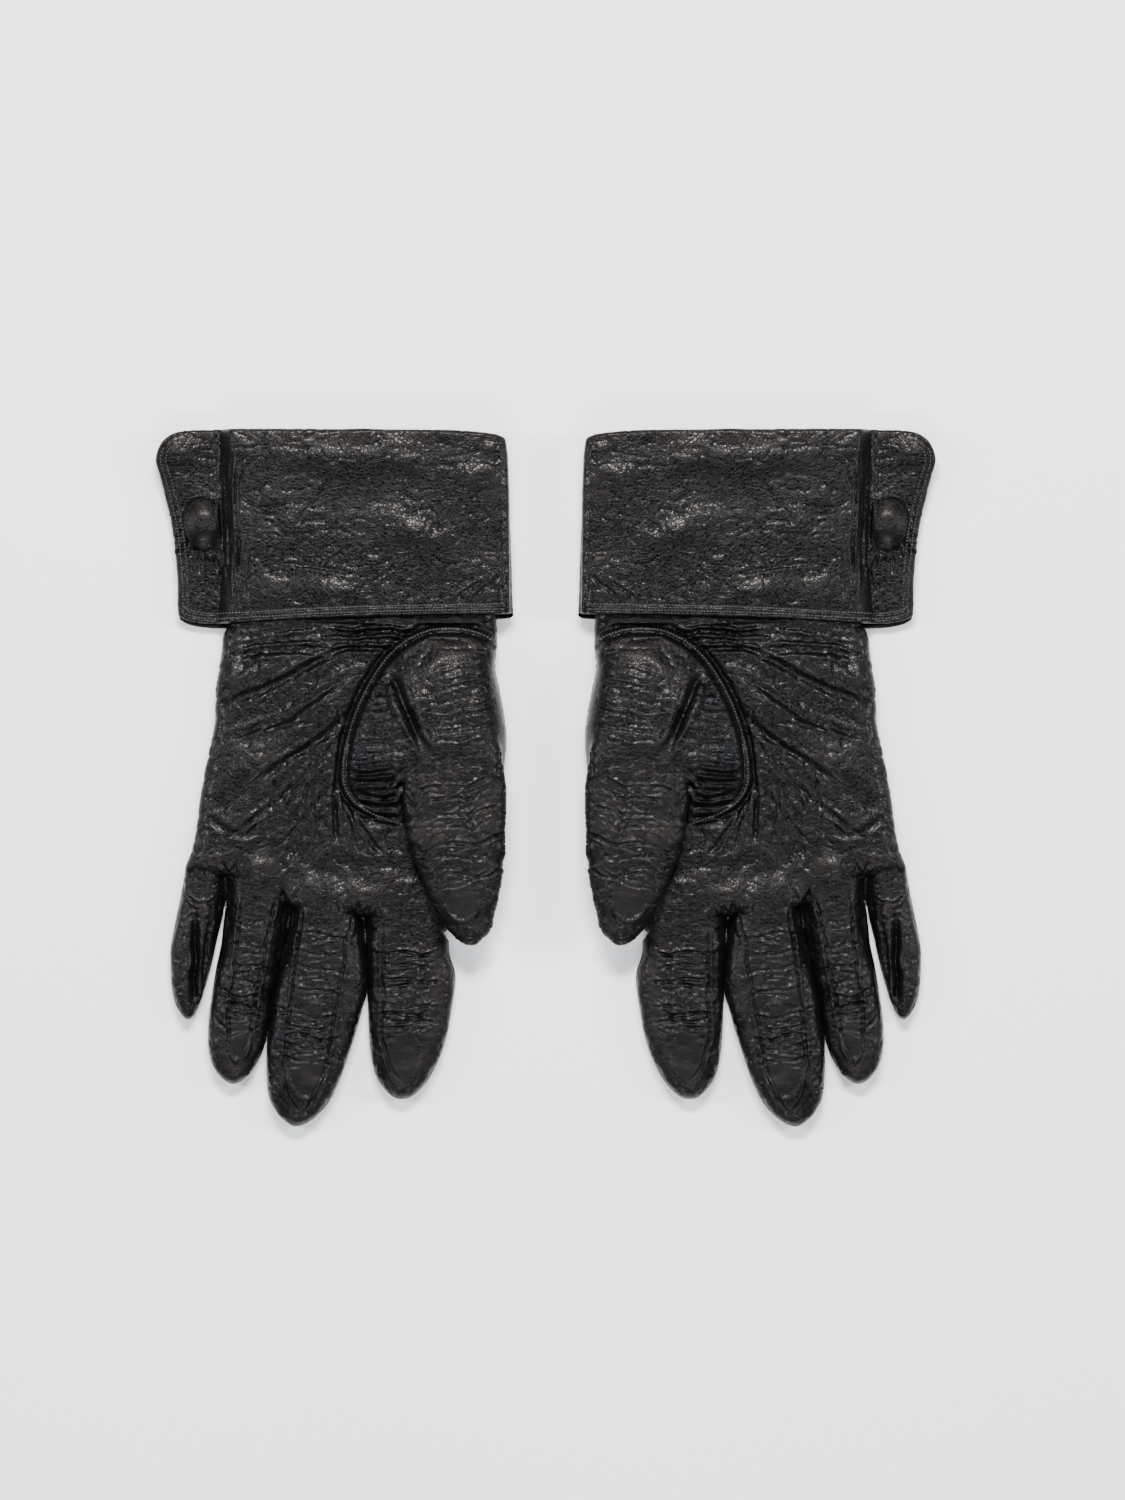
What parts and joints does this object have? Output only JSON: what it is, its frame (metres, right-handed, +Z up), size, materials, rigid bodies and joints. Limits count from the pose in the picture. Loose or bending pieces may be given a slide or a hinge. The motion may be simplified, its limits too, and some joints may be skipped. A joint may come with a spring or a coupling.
{
  "type": "leather gloves",
  "caption": "Pair of black leather dress gloves lying palm up, with turned-back cuffs, covered snaps, bending fingers and thumbs, and cuffs that unfold.",
  "frame": {"origin": "on the table, midway between the two gloves and midway between the cuffs' folds and the middle fingertips", "axes": "+X from the left glove to the right glove, +Y towards the cuffs, +Z up; both palms face +Z"},
  "size_m": [0.3, 0.2682, 0.024],
  "materials": {
    "glove_leather": "semi-gloss grain",
    "cuff_leather": "semi-gloss grain",
    "elastic": "matt",
    "snap_black": "gloss",
    "snap_steel": "satin"
  },
  "bodies": {
    "left_hand": {"left_palm": "glove_leather", "left_back": "glove_leather", "left_thumb_base": "glove_leather", "left_gauntlet_palm_side": "cuff_leather", "left_gauntlet_back_side": "cuff_leather", "left_wrist_elastic": "elastic"},
    "left_index": {"left_index_palm_side": "glove_leather", "left_index_back_side": "glove_leather", "left_index_fourchette": "glove_leather"},
    "left_middle": {"left_middle_palm_side": "glove_leather", "left_middle_back_side": "glove_leather", "left_middle_fourchettes": "glove_leather"},
    "left_ring": {"left_ring_palm_side": "glove_leather", "left_ring_back_side": "glove_leather", "left_ring_fourchettes": "glove_leather"},
    "left_little": {"left_little_palm_side": "glove_leather", "left_little_back_side": "glove_leather", "left_little_fourchette": "glove_leather"},
    "left_thumb": {"left_thumb_palm_side": "glove_leather", "left_thumb_back_side": "glove_leather"},
    "left_front_cuff": {"left_front_cuff_facing": "cuff_leather", "left_front_cuff_lining": "cuff_leather"},
    "left_back_cuff": {"left_back_cuff_facing": "cuff_leather", "left_back_cuff_lining": "cuff_leather", "left_snap_stud": "snap_steel", "left_snap_post": "snap_black"},
    "left_snap_flap": {"left_snap_flap": "cuff_leather", "left_snap_cap": "snap_black", "left_snap_socket": "snap_steel"},
    "right_hand": {"right_palm": "glove_leather", "right_back": "glove_leather", "right_thumb_base": "glove_leather", "right_gauntlet_palm_side": "cuff_leather", "right_gauntlet_back_side": "cuff_leather", "right_wrist_elastic": "elastic"},
    "right_index": {"right_index_palm_side": "glove_leather", "right_index_back_side": "glove_leather", "right_index_fourchette": "glove_leather"},
    "right_middle": {"right_middle_palm_side": "glove_leather", "right_middle_back_side": "glove_leather", "right_middle_fourchettes": "glove_leather"},
    "right_ring": {"right_ring_palm_side": "glove_leather", "right_ring_back_side": "glove_leather", "right_ring_fourchettes": "glove_leather"},
    "right_little": {"right_little_palm_side": "glove_leather", "right_little_back_side": "glove_leather", "right_little_fourchette": "glove_leather"},
    "right_thumb": {"right_thumb_palm_side": "glove_leather", "right_thumb_back_side": "glove_leather"},
    "right_front_cuff": {"right_front_cuff_facing": "cuff_leather", "right_front_cuff_lining": "cuff_leather"},
    "right_back_cuff": {"right_back_cuff_facing": "cuff_leather", "right_back_cuff_lining": "cuff_leather", "right_snap_stud": "snap_steel", "right_snap_post": "snap_black"},
    "right_snap_flap": {"right_snap_flap": "cuff_leather", "right_snap_cap": "snap_black", "right_snap_socket": "snap_steel"}
  },
  "joints": [
    {"name": "left_index_bend", "type": "hinge", "parent": "left_hand", "child": "left_index", "pos_m": [-0.0519, -0.0649, 0.012], "axis": [-0.9986, 0.0523, 0], "range_deg": [0, 80]},
    {"name": "left_middle_bend", "type": "hinge", "parent": "left_hand", "child": "left_middle", "pos_m": [-0.0849, -0.0586, 0.012], "axis": [-0.9898, 0.1426, 0], "range_deg": [0, 80]},
    {"name": "left_ring_bend", "type": "hinge", "parent": "left_hand", "child": "left_ring", "pos_m": [-0.1111, -0.0536, 0.012], "axis": [-0.9893, 0.1461, 0], "range_deg": [0, 80]},
    {"name": "left_little_bend", "type": "hinge", "parent": "left_hand", "child": "left_little", "pos_m": [-0.1314, -0.0436, 0.012], "axis": [-0.9925, 0.1219, 0], "range_deg": [0, 80]},
    {"name": "left_thumb_bend", "type": "hinge", "parent": "left_hand", "child": "left_thumb", "pos_m": [-0.0359, 0.0013, 0.024], "axis": [-0.9936, -0.1132, 0], "range_deg": [0, 70]},
    {"name": "left_front_cuff_fold", "type": "hinge", "parent": "left_hand", "child": "left_front_cuff", "pos_m": [-0.0715, 0.1341, 0.0123], "axis": [-1, 0, 0], "range_deg": [0, 175]},
    {"name": "left_back_cuff_fold", "type": "hinge", "parent": "left_hand", "child": "left_back_cuff", "pos_m": [-0.0715, 0.1341, 0.0024], "axis": [1, 0, 0], "range_deg": [0, 175]},
    {"name": "left_snap_flap_open", "type": "hinge", "parent": "left_front_cuff", "child": "left_snap_flap", "pos_m": [-0.1227, 0.0976, 0.007], "axis": [0, -1, 0], "range_deg": [-65, 0]},
    {"name": "right_index_bend", "type": "hinge", "parent": "right_hand", "child": "right_index", "pos_m": [0.0519, -0.0649, 0.012], "axis": [-0.9986, -0.0523, 0], "range_deg": [0, 80]},
    {"name": "right_middle_bend", "type": "hinge", "parent": "right_hand", "child": "right_middle", "pos_m": [0.0849, -0.0586, 0.012], "axis": [-0.9898, -0.1426, 0], "range_deg": [0, 80]},
    {"name": "right_ring_bend", "type": "hinge", "parent": "right_hand", "child": "right_ring", "pos_m": [0.1111, -0.0536, 0.012], "axis": [-0.9893, -0.1461, 0], "range_deg": [0, 80]},
    {"name": "right_little_bend", "type": "hinge", "parent": "right_hand", "child": "right_little", "pos_m": [0.1314, -0.0436, 0.012], "axis": [-0.9925, -0.1219, 0], "range_deg": [0, 80]},
    {"name": "right_thumb_bend", "type": "hinge", "parent": "right_hand", "child": "right_thumb", "pos_m": [0.0359, 0.0013, 0.024], "axis": [-0.9936, 0.1132, 0], "range_deg": [0, 70]},
    {"name": "right_front_cuff_fold", "type": "hinge", "parent": "right_hand", "child": "right_front_cuff", "pos_m": [0.0715, 0.1341, 0.0123], "axis": [-1, 0, 0], "range_deg": [0, 175]},
    {"name": "right_back_cuff_fold", "type": "hinge", "parent": "right_hand", "child": "right_back_cuff", "pos_m": [0.0715, 0.1341, 0.0024], "axis": [1, 0, 0], "range_deg": [0, 175]},
    {"name": "right_snap_flap_open", "type": "hinge", "parent": "right_front_cuff", "child": "right_snap_flap", "pos_m": [0.1227, 0.0976, 0.007], "axis": [0, 1, 0], "range_deg": [-65, 0]},
    {"name": "right_glove_lift", "type": "slide", "parent": "left_hand", "child": "right_hand", "axis": [0, 0, 1], "range_m": [0, 0.12]}
  ],
  "couplings": [
    {"joint": "left_back_cuff_fold", "follows": "left_front_cuff_fold", "ratio": 1},
    {"joint": "right_back_cuff_fold", "follows": "right_front_cuff_fold", "ratio": 1}
  ]
}
